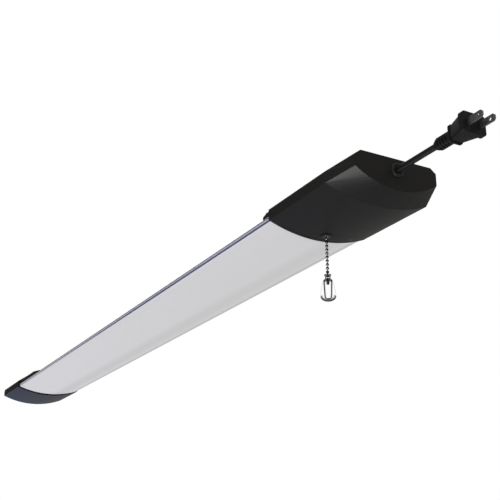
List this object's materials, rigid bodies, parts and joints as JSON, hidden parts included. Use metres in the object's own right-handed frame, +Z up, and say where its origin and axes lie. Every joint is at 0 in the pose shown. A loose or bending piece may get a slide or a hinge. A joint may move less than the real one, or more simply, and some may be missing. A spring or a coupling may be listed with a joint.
{
  "type": "hanging shop light",
  "caption": "Long LED shop light with a curved frosted diffuser, black end housings, a pull-chain switch with a clear bell knob, and a short plug cord.",
  "frame": {"origin": "centre of the four hanging holes, on the top face of the back pan", "axes": "+X along the fixture to the end with the cord and the pull chain, +Z up, the way the hangers leave"},
  "size_m": [1.2843, 0.1124, 0.101],
  "materials": {
    "black_housing": "satin, fine moulded grain",
    "pan_metal": "semi-gloss",
    "diffuser": "frosted",
    "screw_zinc": "zinc plated",
    "chain_metal": "nickel plated",
    "bell_clear": "clear moulded acrylic",
    "brass_contact": "satin",
    "blade_metal": "nickel plated",
    "board_white": "white solder mask",
    "board_green": "solder mask",
    "led_yellow": "phosphor",
    "white_plastic": "smooth",
    "brown_plastic": "moulded",
    "component_black": "moulded",
    "ferrite": "sintered",
    "copper": "enamelled copper wire",
    "capacitor_sleeve": "shrink sleeve",
    "film_yellow": "smooth",
    "fuse_ceramic": "glazed",
    "terminal_green": "moulded",
    "spring_steel": "bright",
    "cord_black": "satin vinyl",
    "lead_black": "smooth",
    "lead_white": "smooth",
    "lead_red": "smooth"
  },
  "bodies": {
    "fixture": {"back_pan": "pan_metal", "diffuser": "diffuser", "driver_housing": "black_housing", "driver_housing_lid": "black_housing", "far_cap": "black_housing", "far_cap_lid": "black_housing", "driver_lid_screws": "screw_zinc", "far_lid_screws": "screw_zinc", "pan_screws": "screw_zinc", "led_board_left_near": "board_white", "led_board_right_near": "board_white", "led_board_left_far": "board_white", "led_board_right_far": "board_white", "leds": "led_yellow", "led_board_screws": "screw_zinc", "led_board_links": "white_plastic", "row_jumper": "lead_red", "driver_board": "board_green", "driver_board_screws": "screw_zinc", "transformer_core": "ferrite", "transformer_coil": "copper", "choke": "copper", "bulk_capacitor": "capacitor_sleeve", "film_capacitor": "film_yellow", "output_capacitors": "capacitor_sleeve", "bridge_rectifier": "component_black", "fuse": "fuse_ceramic", "input_terminal": "terminal_green", "output_terminal": "terminal_green", "switch_body": "brown_plastic", "switch_cover": "brown_plastic", "switch_cover_screws": "screw_zinc", "switch_nipple": "screw_zinc", "ring_nut": "black_housing", "return_spring": "spring_steel", "wheel_pin": "screw_zinc", "line_contact": "brass_contact", "load_contact": "brass_contact", "cord_bushing": "black_housing", "bushing_clip": "spring_steel", "cord_tail": "cord_black", "cord": "cord_black", "plug_body": "cord_black", "plug_blade_left": "blade_metal", "plug_blade_right": "blade_metal", "line_lead": "lead_black", "neutral_lead": "lead_white", "load_lead": "lead_red", "led_lead_plus": "lead_red", "led_lead_minus": "lead_black"},
    "pull": {"pull_slider": "white_plastic", "upper_chain_beads": "chain_metal", "upper_chain_links": "chain_metal"},
    "pivot": {"pivot_bead": "chain_metal"},
    "chain": {"chain_beads": "chain_metal", "chain_links": "chain_metal"},
    "bell": {"bell_knob": "bell_clear"},
    "wheel": {"pull_wheel": "white_plastic"},
    "drum": {"contact_drum": "white_plastic"}
  },
  "joints": [
    {"name": "chain_pull", "type": "slide", "parent": "fixture", "child": "pull", "axis": [0, 0, -1], "range_m": [0, 0.006], "stiffness_N_per_m": 400, "springref_m": -0.004, "deforming": ["return_spring"]},
    {"name": "chain_swing_along", "type": "hinge", "parent": "pull", "child": "pivot", "pos_m": [0.472, 0, -0.0348], "axis": [0, 1, 0], "range_deg": [-25, 25]},
    {"name": "chain_swing_across", "type": "hinge", "parent": "pivot", "child": "chain", "pos_m": [0.472, 0, -0.0348], "axis": [1, 0, 0], "range_deg": [-25, 25]},
    {"name": "bell_spin", "type": "hinge", "parent": "chain", "child": "bell", "pos_m": [0.472, 0, -0.0804], "axis": [0, 0, 1], "continuous": true},
    {"name": "pull_wheel_turn", "type": "hinge", "parent": "fixture", "child": "wheel", "pos_m": [0.48152, 0, -0.0166], "axis": [0, -1, 0], "range_deg": [0, 90.5]},
    {"name": "contact_drum_turn", "type": "hinge", "parent": "fixture", "child": "drum", "pos_m": [0.48152, 0, -0.0166], "axis": [0, -1, 0], "continuous": true}
  ],
  "couplings": [
    {"joint": "pull_wheel_turn", "follows": "chain_pull", "rad_per_m": 261.8}
  ]
}
